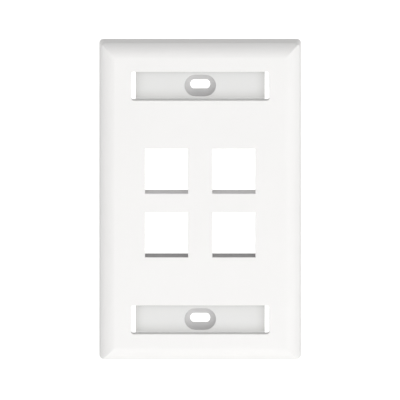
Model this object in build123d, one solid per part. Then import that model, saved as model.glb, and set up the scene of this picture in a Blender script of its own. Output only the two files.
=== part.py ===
from build123d import *
import os

# One-gang wall plate for four keystone jacks, with two label windows.
# It is one white plastic moulding, a shallow shell with the jack ports standing behind its face.
#
# X runs across the plate, Z up it, and the face looks along -Y.
# The origin is the middle of the wall plane, on which the back of the rim lies.
# Depths are in mm ahead of the wall plane, so what stands behind the wall is negative.

# The plate, in the standard one-gang size
plate_width = 69.85
plate_height = 114.3
plate_depth = 6.0
wall = 2.3
corner_radius = 1.5
hollow_corner_radius = 1.0

# The bevel round the face, an arc that leaves the face flush with it, and below it the drafted sides
bevel_width = 4.8
bevel_drop = 2.4
side_draft = 0.6
edge_radius = 0.4

# The ports, two columns by two rows
port_width = 14.85
port_height = 15.9
port_depth = 9.9
mouth_radius = 0.2
collar_wall = 1.2
column_gap = 6.05

# A jack's hook goes below its port's throat and its latch above it
throat_depth = 5.4
throat_lip = 1.2
hook_pocket = 1.9
hook_catch = 0.9
hook_catch_fall = 0.5
latch_pocket = 3.7
latch_catch = 1.7
latch_lead_in = 0.8
side_lead_in = 0.6
catch_thickness = 1.5

# The label windows, each with a narrow slot at both ends for the hooks of a clear cover
window_width = 47.7
window_height = 10.2
window_recess = 1.2
window_corner_radius = 0.75
cover_slot_width = 1.5

# The screw slots, dished for oval heads, at the standard spacing, each a round hole drawn out and flattened
screw_spacing = 83.34
screw_travel = 3.2
screw_hole = 3.75
screw_slot_width = 3.3
screw_slot_land = 0.6
seat_width = 7.75
seat_depth = 2.05
seat_bulge = 0.3
boss_wall = 1.0

# The ribs behind the face
rib_thickness = 1.2
rib_setback = 0.8

# How far a cut runs past the surface that it opens, and a rib or collar into the wall that carries it
overcut = 1.0
overlap = 0.5

# Where these sizes put the surfaces of the moulding
hollow_top = plate_depth - wall
throat_end = plate_depth - throat_depth
port_back = plate_depth - port_depth
catch_front = port_back + catch_thickness
window_floor = plate_depth - window_recess
seat_foot = window_floor - seat_depth
boss_back = seat_foot - screw_slot_land

# The ports stand wall to wall in a column, so the row pitch follows from what a port holds
column_pitch = port_width + 2 * collar_wall + column_gap
row_pitch = port_height + hook_pocket + latch_pocket + collar_wall

# Sections are drawn as (across, ahead of the wall), and plans as (across, up)
SECTION_ACROSS = Plane((0, 0, 0), x_dir=(1, 0, 0), z_dir=(0, 0, -1))
SECTION_UP = Plane((0, 0, 0), x_dir=(0, 0, 1), z_dir=(1, 0, 0))
PLAN = Plane.XZ


def prism(plan, back, front):
    """A plan made solid between two depths ahead of the wall."""
    return extrude(PLAN.offset(back) * plan, amount=front - back)


def plate_section(width, inset, back):
    """The plate's section, drawn in by the inset: a flat face, bevels that curve away from it, and sides."""
    top = width / 2 - side_draft
    flat = top - bevel_width
    edge = plate_depth - bevel_drop
    foot = back - inset
    half = width / 2 - foot * side_draft / edge
    right_bevel = TangentArc((flat, plate_depth), (top, edge), tangent=(1, 0))
    left_bevel = TangentArc((-flat, plate_depth), (-top, edge), tangent=(-1, 0))
    sides = Polyline((-top, edge), (-half, foot), (half, foot), (top, edge))
    face = Line((-flat, plate_depth), (flat, plate_depth))
    section = make_face([face, right_bevel, sides, left_bevel])
    return offset(section, amount=-inset) if inset else section


def plate_form(inset, back, corner, edge):
    """Two bars with that section, crossed, so that the bevels meet in mitres, and the corners rounded."""
    section_across = SECTION_ACROSS * plate_section(plate_width, inset, back)
    section_up = SECTION_UP * plate_section(plate_height, inset, back)
    upright_bar = extrude(section_across, amount=plate_height / 2, both=True)
    level_bar = extrude(section_up, amount=plate_width / 2, both=True)
    form = upright_bar & level_bar
    lines = form.edges().filter_by(GeomType.LINE)
    form = fillet([line for line in lines if abs((line % 0).Y) > 0.5], corner)
    if edge:
        sides = [face for face in form.faces().filter_by(GeomType.PLANE) if abs(face.normal_at().Y) < 0.5]
        form = fillet([side.edges().sort_by(Axis.Y)[0] for side in sides], edge)
    return form


def ribs(form):
    """Ribs that tie the ports to the rim, kept inside the plate's form."""
    upright = Rectangle(rib_thickness, plate_height)
    level = Rectangle(plate_width, rib_thickness)
    plan = Sketch() + [Pos(X=side * column_pitch / 2) * upright for side in (-1, 0, 1)]
    plan += [Pos(Y=side * row_pitch / 2) * level for side in (-1, 1)]
    return prism(plan, rib_setback, hollow_top + overlap) & form


def port_collar():
    """The box that stands behind the face round one port and its two pockets."""
    bottom = -port_height / 2 - hook_pocket - collar_wall
    top = port_height / 2 + latch_pocket + collar_wall
    plan = Pos(Y=(top + bottom) / 2) * Rectangle(port_width + 2 * collar_wall, top - bottom)
    return prism(plan, port_back, hollow_top + overlap)


def port_void():
    """What is open in one port: the jack's throat, and behind it the two pockets that hold the jack.

    The hook's pocket is closed by a low catch that slopes away to the rear.
    The latch's pocket reaches forward over the throat's lip, and its catch hangs from the top wall.
    """
    floor = -port_height / 2
    ceiling = port_height / 2
    hook_floor = floor - hook_pocket
    catch_top = hook_floor + hook_catch
    latch_ceiling = ceiling + latch_pocket
    catch_foot = latch_ceiling - latch_catch
    behind = port_back - overcut
    section = Polyline(
        (floor, plate_depth + overcut),
        (floor, throat_end),
        (hook_floor, throat_end),
        (hook_floor, catch_front),
        (catch_top, catch_front),
        (catch_top - hook_catch_fall, port_back),
        (catch_top - hook_catch_fall, behind),
        (catch_foot + latch_lead_in, behind),
        (catch_foot + latch_lead_in, port_back),
        (catch_foot, port_back + latch_lead_in),
        (catch_foot, catch_front),
        (latch_ceiling, catch_front),
        (latch_ceiling, hollow_top),
        (ceiling + throat_lip, hollow_top),
        (ceiling + throat_lip, throat_end),
        (ceiling, throat_end),
        (ceiling, plate_depth + overcut),
        close=True,
    )
    return extrude(SECTION_UP * make_face(section), amount=port_width / 2, both=True)


def port_lead_in():
    """The flare at the back of a port's side walls that guides the jack in."""
    half = port_width / 2
    behind = port_back - overcut
    section = Polyline(
        (half, port_back + side_lead_in),
        (half + side_lead_in, port_back),
        (half + side_lead_in, behind),
        (-half - side_lead_in, behind),
        (-half - side_lead_in, port_back),
        (-half, port_back + side_lead_in),
        close=True,
    )
    return extrude(SECTION_ACROSS * make_face(section), amount=port_height / 2, both=True)


def screw_boss(back, front):
    """The obround pad behind a window that gives the screw seat its depth."""
    plan = SlotCenterToCenter(screw_travel, seat_width + 2 * boss_wall)
    return prism(plan, back, front)


def screw_seat():
    """The dished seat for a screw head and the slot at its foot, as a solid to cut away.

    The dish's half section is turned at both ends of the screw's travel and drawn straight between them.
    The slot is a hole drawn out along that travel, with a flat above it and another below.
    """
    rim = seat_width / 2
    foot = screw_slot_width / 2
    front = plate_depth + overcut
    dish = SagittaArc((rim, window_floor), (foot, seat_foot), seat_bulge)
    inside = Polyline((foot, seat_foot), (0, seat_foot), (0, front), (rim, front), (rim, window_floor))
    half_section = SECTION_UP * make_face([dish, inside])
    turned = revolve(half_section, axis=Axis.Y, revolution_arc=180)
    right_end = Pos(X=screw_travel / 2) * turned
    upper = extrude(half_section, amount=screw_travel / 2, both=True)
    lower = mirror(upper, about=Plane.XY)
    left_end = mirror(right_end, about=Plane.YZ)
    drawn_out = SlotCenterToCenter(screw_travel, screw_hole)
    between_flats = Rectangle(screw_travel + screw_hole, screw_slot_width)
    slot = prism(drawn_out & between_flats, rib_setback - overcut, window_floor)
    return upper + lower + right_end + left_end + slot


def window_void():
    """What is open in one label window: the recess, the slots at its ends and the screw seat."""
    outline = RectangleRounded(window_width, window_height, window_corner_radius)
    floor = Rectangle(window_width - 2 * cover_slot_width, window_height + overcut)
    recess = prism(outline, window_floor, plate_depth + overcut)
    cover_slots = prism(outline - floor, hollow_top - overcut, plate_depth + overcut)
    return recess + cover_slots + screw_seat()


def faceplate():
    """The whole moulding."""
    form = plate_form(0, 0, corner_radius, edge_radius)
    hollow = plate_form(wall, -overcut, hollow_corner_radius, 0)
    columns = (-column_pitch / 2, column_pitch / 2)
    rows = (-row_pitch / 2, row_pitch / 2)
    ports = [Pos(X=x, Z=z) for x in columns for z in rows]
    windows = [Pos(Z=-screw_spacing / 2), Pos(Z=screw_spacing / 2)]
    plate = form - hollow + ribs(form)
    plate += [place * port_collar() for place in ports]
    plate -= [place * screw_boss(rib_setback - overcut, boss_back) for place in windows]
    plate += [place * screw_boss(boss_back, hollow_top + overlap) for place in windows]
    plate -= [place * port_void() for place in ports]
    plate -= [place * port_lead_in() for place in ports]
    plate -= [place * window_void() for place in windows]
    front = plate.faces().group_by(Axis.Y)[0]
    mouths = [edge for face in front for opening in face.inner_wires() for edge in opening.edges()]
    return fillet(mouths, mouth_radius)


os.makedirs("parts", exist_ok=True)
export_step(faceplate(), "parts/faceplate.step")
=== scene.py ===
import math

import bmesh
import bpy
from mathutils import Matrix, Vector

# Dressing of a one-gang wall plate for four keystone jacks: its plastic, the studio and the camera.
# The plate is one moulding, carried over from the frame as it is. Lengths are in metres.
# The face looks along -Y, the wall plane is Y = 0 and +Z is up.

MM = 0.001

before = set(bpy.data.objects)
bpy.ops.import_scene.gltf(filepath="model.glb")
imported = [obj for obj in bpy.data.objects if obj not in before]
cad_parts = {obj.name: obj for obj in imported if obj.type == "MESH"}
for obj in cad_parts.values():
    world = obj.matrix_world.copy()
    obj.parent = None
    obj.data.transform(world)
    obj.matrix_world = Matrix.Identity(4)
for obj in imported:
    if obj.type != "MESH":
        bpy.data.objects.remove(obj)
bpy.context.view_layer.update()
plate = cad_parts["faceplate"]

# Where the openings lie on the plate. Depths are ahead of the wall. A screw seat's painted shade ends
# between the foot of its dish, 2.75 mm ahead of the wall, and the back of the pad behind it, at 2.15 mm.
FACE_DEPTH = 6.0 * MM
WINDOW_SPACING = 83.34 * MM
WINDOW_WIDTH = 47.7 * MM
WINDOW_HEIGHT = 10.2 * MM
WINDOW_FLOOR_DEPTH = 4.8 * MM
COVER_SLOT_WIDTH = 1.5 * MM
SEAT_LENGTH = 10.95 * MM
SEAT_HEIGHT = 7.75 * MM
SEAT_SHADE_END = 2.5 * MM
COLUMN_SPACING = 23.3 * MM
ROW_SPACING = 22.7 * MM
PORT_WIDTH = 14.85 * MM
PORT_HEIGHT = 15.9 * MM
THROAT_BACK_DEPTH = 0.6 * MM

# The room that the box of a finish or of a painted shade leaves round its surface, and how softly it ends at
# the box's sides
FINISH_AND_SHADE_BAND = 0.3 * MM
FINISH_AND_SHADE_BLUR = 0.1 * MM

# The whites of the plastic, the window floors' greyer colour, and the painted shade of the seats and port
# floors
ABS_WHITE = "#F4F3F2"
ABS_WHITE_THICK = "#F2F1F0"
WINDOW_FLOOR_GREY = "#E5E5E4"
SEAT_PAINTED_SHADE = "#C7C6C6"
UPPER_THROAT_PAINTED_SHADE = "#DBD9DA"
LOWER_THROAT_PAINTED_SHADE = "#929091"

# Its soft shades, in inner corners and on the window floors towards their lower lips and their ends.
# Close to a lip, and on its own wall, there is none, because the studio's light does the shading there.
CORNER_SHADE = "#B4B4B3"
CORNER_REACH = 7 * MM
CORNER_SAMPLES = 16
EDGE_SHADE = "#F0F0EF"
SHADE_POWER = 1.5
LIP_CLEAR = 0.55 * MM
LIP_SHADE_START = 1.1 * MM
LIP_SHADE_END = 4.5 * MM
END_SHADE_REACH = 3.5 * MM

# Its surface, polished but for the spark-eroded window floors. Its colour drifts a little in patches, as the
# melt flowed, and the orange peel has its real size and height. The spark grain is drawn about ten times as
# coarse as the real one, which is too fine to show in the render.
ABS_IOR = 1.54
POLISHED_ROUGHNESS = 0.55
TEXTURED_ROUGHNESS = 0.62
MELT_FLOW_PATCH = 24 * MM
ORANGE_PEEL_CELL = 1.6 * MM
ORANGE_PEEL_HEIGHT = 0.002 * MM
SPARK_GRAIN = 0.45 * MM
SPARK_HEIGHT = 0.008 * MM

# The camera, straight in front of the plate and above it, with a parallel view
CAMERA_ELEVATION = math.radians(14.2)
CAMERA_DISTANCE = 1.0
CAMERA_FRAME = 138.4 * MM
CAMERA_TARGET = Vector((-0.07 * MM, 0, -0.41 * MM))

# The studio, a paper sweep lit evenly from all round, with a soft key from the front, the right and below,
# and a weak softbox at each side. A direction runs from the plate to the lamp.
FLOOR_DROP = 1.8
STAGE_HALF_WIDTH = 5.0
STAGE_FRONT = -5.0
STAGE_BACK = 2.0
STAGE_TOP = 3.0
COVE_RADIUS = 0.5
COVE_STEPS = 24
STAGE_WHITE = "#F0F0EF"
STAGE_GLOW = 0.6
AMBIENT = 0.52
LAMP_DISTANCE = 3.0
LAMP_SIZE = 1.2
KEY_DIRECTION = Vector((0.253, -0.862, -0.438))
KEY_POWER = 42.0
SIDE_DIRECTION = Vector((0.944, -0.33, 0))
SIDE_POWER = 9.4

# Sockets of a Mix node set to colours
MIX_FACTOR, MIX_FIRST, MIX_SECOND, MIX_RESULT = 0, 6, 7, 2


def linear(hex_colour):
    """An sRGB hex colour as linear RGBA."""
    channels = [int(hex_colour[i:i + 2], 16) / 255 for i in (1, 3, 5)]
    return [c / 12.92 if c <= 0.04045 else ((c + 0.055) / 1.055) ** 2.4 for c in channels] + [1.0]


def add_node(tree, kind, settings=(), links=()):
    """A node with its settings, each an input or a property, and its links, each an input and its source."""
    node = tree.nodes.new(kind)
    for name, value in dict(settings).items():
        if isinstance(name, int) or name in node.inputs:
            node.inputs[name].default_value = value
        else:
            setattr(node, name, value)
    for name, source in dict(links).items():
        tree.links.new(source, node.inputs[name])
    return node


def new_material(name):
    """An empty node material and its tree."""
    material = bpy.data.materials.new(name)
    material.use_nodes = True
    material.node_tree.nodes.clear()
    return material, material.node_tree


def from_middles(tree, place):
    """Where a point lies from the middle of the plate, and from the middle of the nearer label window.

    Both places run across, folded left to right, then ahead of the wall and up.
    """
    x, y, z = add_node(tree, "ShaderNodeSeparateXYZ", (), {"Vector": place}).outputs
    across = add_node(tree, "ShaderNodeMath", {"operation": "ABSOLUTE"}, {0: x}).outputs[0]
    ahead = add_node(tree, "ShaderNodeMath", {"operation": "MULTIPLY", 1: -1.0}, {0: y}).outputs[0]
    to_window = {"operation": "SUBTRACT", 1: WINDOW_SPACING / 2}
    up = add_node(tree, "ShaderNodeMath", to_window, {0: z}).outputs[0]
    to_nearer = {"operation": "WRAP", 1: WINDOW_SPACING / 2, 2: -WINDOW_SPACING / 2}
    up = add_node(tree, "ShaderNodeMath", to_nearer, {0: up}).outputs[0]
    from_plate = add_node(tree, "ShaderNodeCombineXYZ", (), {"X": across, "Y": ahead, "Z": z}).outputs[0]
    from_window = add_node(tree, "ShaderNodeCombineXYZ", (), {"X": across, "Y": ahead, "Z": up}).outputs[0]
    return from_plate, from_window


def inside_box(tree, point, centre, size):
    """1 where the point lies in a box, falling to 0 at its sides."""
    off = add_node(tree, "ShaderNodeVectorMath", {"operation": "SUBTRACT", 1: centre}, {0: point})
    off = add_node(tree, "ShaderNodeVectorMath", {"operation": "ABSOLUTE"}, {0: off.outputs[0]})
    half = [length / 2 for length in size]
    out = add_node(tree, "ShaderNodeVectorMath", {"operation": "SUBTRACT", 1: half}, {0: off.outputs[0]})
    x, y, z = add_node(tree, "ShaderNodeSeparateXYZ", (), {"Vector": out.outputs[0]}).outputs
    far = add_node(tree, "ShaderNodeMath", {"operation": "MAXIMUM"}, {0: x, 1: y}).outputs[0]
    far = add_node(tree, "ShaderNodeMath", {"operation": "MAXIMUM"}, {0: far, 1: z}).outputs[0]
    edge = {"From Min": -FINISH_AND_SHADE_BLUR, "From Max": 0, "To Min": 1.0, "To Max": 0.0}
    return add_node(tree, "ShaderNodeMapRange", edge, {"Value": far}).outputs["Result"]


def fading(tree, value, start, end, limit):
    """A soft fall from 1 at the start to 0 at the end, kept to where the limit is 1."""
    fall = {"From Min": start, "From Max": end, "To Min": 1.0, "To Max": 0.0}
    near = add_node(tree, "ShaderNodeMapRange", fall, {"Value": value}).outputs["Result"]
    near = add_node(tree, "ShaderNodeMath", {"operation": "POWER", 1: SHADE_POWER}, {0: near}).outputs[0]
    return add_node(tree, "ShaderNodeMath", {"operation": "MULTIPLY"}, {0: near, 1: limit}).outputs[0]


def window_zones(tree, from_window):
    """Masks of the label windows' floors, of their whole recesses, and of the screw seats, which carry a
    painted shade.
    """
    floor_size = (WINDOW_WIDTH + FINISH_AND_SHADE_BAND, 2 * FINISH_AND_SHADE_BAND, WINDOW_HEIGHT + FINISH_AND_SHADE_BAND)
    floor = inside_box(tree, from_window, (0, WINDOW_FLOOR_DEPTH, 0), floor_size)
    recess_depth = FACE_DEPTH - WINDOW_FLOOR_DEPTH
    recess_middle = (0, (FACE_DEPTH + WINDOW_FLOOR_DEPTH) / 2, 0)
    recess_size = (WINDOW_WIDTH + FINISH_AND_SHADE_BAND, recess_depth + FINISH_AND_SHADE_BAND, WINDOW_HEIGHT + FINISH_AND_SHADE_BAND)
    recess = inside_box(tree, from_window, recess_middle, recess_size)
    seat_depth = WINDOW_FLOOR_DEPTH - SEAT_SHADE_END
    seat_middle = (0, (WINDOW_FLOOR_DEPTH + SEAT_SHADE_END) / 2, 0)
    seat_size = (SEAT_LENGTH + FINISH_AND_SHADE_BAND, seat_depth, SEAT_HEIGHT + FINISH_AND_SHADE_BAND)
    seat_shade = inside_box(tree, from_window, seat_middle, seat_size)
    return floor, recess, seat_shade


def throat_floors(tree, from_plate):
    """Masks of the floors of the upper and of the lower ports, where a painted shade lies, darker on the
    lower row.
    """
    size = (PORT_WIDTH + FINISH_AND_SHADE_BAND, FACE_DEPTH - THROAT_BACK_DEPTH, FINISH_AND_SHADE_BAND)
    across = COLUMN_SPACING / 2
    ahead = (FACE_DEPTH + THROAT_BACK_DEPTH) / 2
    rows = (ROW_SPACING / 2, -ROW_SPACING / 2)
    return [inside_box(tree, from_plate, (across, ahead, row - PORT_HEIGHT / 2), size) for row in rows]


def soft_shades(tree, from_window, window_floor, recess):
    """How deep the shade is in the inner corners, by the windows' lower lips and by their ends."""
    across, _, up = add_node(tree, "ShaderNodeSeparateXYZ", (), {"Vector": from_window}).outputs
    lip = -WINDOW_HEIGHT / 2
    end = WINDOW_WIDTH / 2 - COVER_SLOT_WIDTH
    clear = fading(tree, up, lip + LIP_CLEAR, lip + LIP_SHADE_START, recess)
    shaded = add_node(tree, "ShaderNodeMath", {"operation": "SUBTRACT", 0: 1.0}, {1: clear}).outputs[0]
    shaded_floor = {0: window_floor, 1: shaded}
    shaded_floor = add_node(tree, "ShaderNodeMath", {"operation": "MULTIPLY"}, shaded_floor).outputs[0]
    by_lip = fading(tree, up, lip + LIP_SHADE_START, lip + LIP_SHADE_END, shaded_floor)
    by_end = fading(tree, across, end, end - END_SHADE_REACH, shaded_floor)
    reach = {"samples": CORNER_SAMPLES, "Distance": CORNER_REACH}
    openness = add_node(tree, "ShaderNodeAmbientOcclusion", reach).outputs["AO"]
    corner = add_node(tree, "ShaderNodeMath", {"operation": "SUBTRACT", 0: 1.0}, {1: openness}).outputs[0]
    corner = add_node(tree, "ShaderNodeMath", {"operation": "MULTIPLY"}, {0: corner, 1: shaded}).outputs[0]
    return corner, by_lip, by_end


def moulded_abs():
    """White ABS from a polished tool, which gives a soft sheen with a trace of orange peel.

    The floors of the label windows come from a spark-eroded part of the tool, so they look matt, and they
    are coloured greyer than the face.
    The screw seats and the floors of the ports lie deep in the moulding and carry a painted shade, darkest
    on the lower ports' floors.
    Soft shades lie in the inner corners, and on the window floors towards their lower lips and their ends.
    """
    material, tree = new_material("moulded_abs")
    place = add_node(tree, "ShaderNodeTexCoord").outputs["Object"]
    from_plate, from_window = from_middles(tree, place)
    window_floor, recess, seat_shade = window_zones(tree, from_window)
    upper_throat_shade, lower_throat_shade = throat_floors(tree, from_plate)
    corner, by_lip, by_end = soft_shades(tree, from_window, window_floor, recess)

    flow = {"Scale": 1 / MELT_FLOW_PATCH, "Detail": 2.0, "Roughness": 0.5}
    flow = add_node(tree, "ShaderNodeTexNoise", flow, {"Vector": place}).outputs["Fac"]
    colour = {"data_type": "RGBA", MIX_FIRST: linear(ABS_WHITE), MIX_SECOND: linear(ABS_WHITE_THICK)}
    colour = add_node(tree, "ShaderNodeMix", colour, {MIX_FACTOR: flow}).outputs[MIX_RESULT]
    # The window floors' greyer colour goes on first, then the painted shades: in the corners, by the lips
    # and ends, in the screw seats and on the ports' floors
    for amount, blend, white in (
        (window_floor, "MIX", WINDOW_FLOOR_GREY),
        (corner, "MULTIPLY", CORNER_SHADE),
        (by_lip, "MULTIPLY", EDGE_SHADE),
        (by_end, "MULTIPLY", EDGE_SHADE),
        (seat_shade, "MIX", SEAT_PAINTED_SHADE),
        (upper_throat_shade, "MIX", UPPER_THROAT_PAINTED_SHADE),
        (lower_throat_shade, "MIX", LOWER_THROAT_PAINTED_SHADE),
    ):
        finish_or_shade = {"data_type": "RGBA", "blend_type": blend, MIX_SECOND: linear(white)}
        under = {MIX_FACTOR: amount, MIX_FIRST: colour}
        colour = add_node(tree, "ShaderNodeMix", finish_or_shade, under).outputs[MIX_RESULT]

    peel = {"Scale": 1 / ORANGE_PEEL_CELL, "Detail": 1.0, "Roughness": 0.5}
    peel = add_node(tree, "ShaderNodeTexNoise", peel, {"Vector": place}).outputs["Fac"]
    peel_bump = {"Strength": 1.0, "Distance": ORANGE_PEEL_HEIGHT}
    peel_bump = add_node(tree, "ShaderNodeBump", peel_bump, {"Height": peel}).outputs[0]
    grain = {"Scale": 1 / SPARK_GRAIN, "Detail": 3.0, "Roughness": 0.6}
    grain = add_node(tree, "ShaderNodeTexNoise", grain, {"Vector": place}).outputs["Fac"]
    relief = {"Height": grain, "Strength": window_floor, "Normal": peel_bump}
    relief = add_node(tree, "ShaderNodeBump", {"Distance": SPARK_HEIGHT}, relief).outputs[0]
    sheen = {"To Min": POLISHED_ROUGHNESS, "To Max": TEXTURED_ROUGHNESS}
    sheen = add_node(tree, "ShaderNodeMapRange", sheen, {"Value": window_floor}).outputs["Result"]
    surface = {"Base Color": colour, "Roughness": sheen, "Normal": relief}
    surface = add_node(tree, "ShaderNodeBsdfPrincipled", {"IOR": ABS_IOR}, surface).outputs[0]
    add_node(tree, "ShaderNodeOutputMaterial", (), {"Surface": surface})
    return material


def seen_rays(tree):
    """1 for the rays by which the camera sees a thing, straight, mirrored or through glass, else 0."""
    rays = add_node(tree, "ShaderNodeLightPath").outputs
    seen = rays["Is Camera Ray"]
    for other in ("Is Glossy Ray", "Is Transmission Ray"):
        either = {0: seen, 1: rays[other]}
        seen = add_node(tree, "ShaderNodeMath", {"operation": "MAXIMUM"}, either).outputs[0]
    return seen


def studio_paper():
    """Matt white studio paper, which glows a little to the camera and so stays white behind the plate."""
    material, tree = new_material("studio_paper")
    paper = add_node(tree, "ShaderNodeBsdfDiffuse", {"Color": linear(STAGE_WHITE)}).outputs[0]
    glow = {"operation": "MULTIPLY", 1: STAGE_GLOW}
    glow = add_node(tree, "ShaderNodeMath", glow, {0: seen_rays(tree)}).outputs[0]
    glow = add_node(tree, "ShaderNodeEmission", (), {"Strength": glow}).outputs[0]
    lit_paper = add_node(tree, "ShaderNodeAddShader", (), {0: paper, 1: glow}).outputs[0]
    add_node(tree, "ShaderNodeOutputMaterial", (), {"Surface": lit_paper})
    return material


def studio_sweep():
    """The paper floor, curved up behind the plate into its backdrop."""
    mesh = bmesh.new()
    floor = -FLOOR_DROP
    start = mesh.verts.new((-STAGE_HALF_WIDTH, STAGE_FRONT, floor))
    foot = mesh.verts.new((-STAGE_HALF_WIDTH, STAGE_BACK - COVE_RADIUS, floor))
    mesh.edges.new((start, foot))
    bmesh.ops.spin(
        mesh,
        geom=[foot],
        cent=(0, STAGE_BACK - COVE_RADIUS, floor + COVE_RADIUS),
        axis=(1, 0, 0),
        angle=math.pi / 2,
        steps=COVE_STEPS,
        use_merge=False,
    )
    mesh.verts.ensure_lookup_table()
    top_of_cove = max(mesh.verts, key=lambda v: v.co.z)
    up = bmesh.ops.extrude_vert_indiv(mesh, verts=[top_of_cove])
    up["verts"][0].co.z = STAGE_TOP
    wide = bmesh.ops.extrude_edge_only(mesh, edges=mesh.edges[:])
    far_side = [v for v in wide["geom"] if isinstance(v, bmesh.types.BMVert)]
    bmesh.ops.translate(mesh, verts=far_side, vec=(2 * STAGE_HALF_WIDTH, 0, 0))
    bmesh.ops.recalc_face_normals(mesh, faces=mesh.faces[:])
    for face in mesh.faces:
        face.smooth = True
    data = bpy.data.meshes.new("studio_sweep")
    mesh.to_mesh(data)
    mesh.free()
    data.materials.append(studio_paper())
    sweep = bpy.data.objects.new("studio_sweep", data)
    bpy.context.collection.objects.link(sweep)


def studio_world():
    """Even light from all round, and plain white to the camera."""
    world = bpy.data.worlds.new("studio_world")
    bpy.context.scene.world = world
    world.use_nodes = True
    tree = world.node_tree
    tree.nodes.clear()
    strength = {"To Min": AMBIENT, "To Max": 1.0}
    strength = add_node(tree, "ShaderNodeMapRange", strength, {"Value": seen_rays(tree)}).outputs["Result"]
    light = {"Color": (1, 1, 1, 1)}
    light = add_node(tree, "ShaderNodeBackground", light, {"Strength": strength}).outputs[0]
    add_node(tree, "ShaderNodeOutputWorld", (), {"Surface": light})


def softbox(name, direction, power):
    """A square lamp that faces the plate from a direction."""
    lamp = bpy.data.lights.new(name, "AREA")
    lamp.size = LAMP_SIZE
    lamp.energy = power
    holder = bpy.data.objects.new(name, lamp)
    bpy.context.collection.objects.link(holder)
    holder.visible_camera = False
    holder.location = direction.normalized() * LAMP_DISTANCE
    holder.rotation_euler = direction.to_track_quat("Z", "Y").to_euler()


def camera():
    """The camera, at the viewing angle of the photograph."""
    lens = bpy.data.cameras.new("camera")
    lens.type = "ORTHO"
    lens.ortho_scale = CAMERA_FRAME
    holder = bpy.data.objects.new("camera", lens)
    bpy.context.collection.objects.link(holder)
    back = Vector((0, -math.cos(CAMERA_ELEVATION), math.sin(CAMERA_ELEVATION)))
    holder.location = CAMERA_TARGET + back * CAMERA_DISTANCE
    holder.rotation_euler = back.to_track_quat("Z", "Y").to_euler()
    bpy.context.scene.camera = holder


plate.material_slots[0].material = moulded_abs()
studio_sweep()
studio_world()
softbox("key", KEY_DIRECTION, KEY_POWER)
softbox("right_side", SIDE_DIRECTION, SIDE_POWER)
softbox("left_side", SIDE_DIRECTION * Vector((-1, 1, 1)), SIDE_POWER)
camera()
bpy.context.scene.view_settings.view_transform = "Standard"
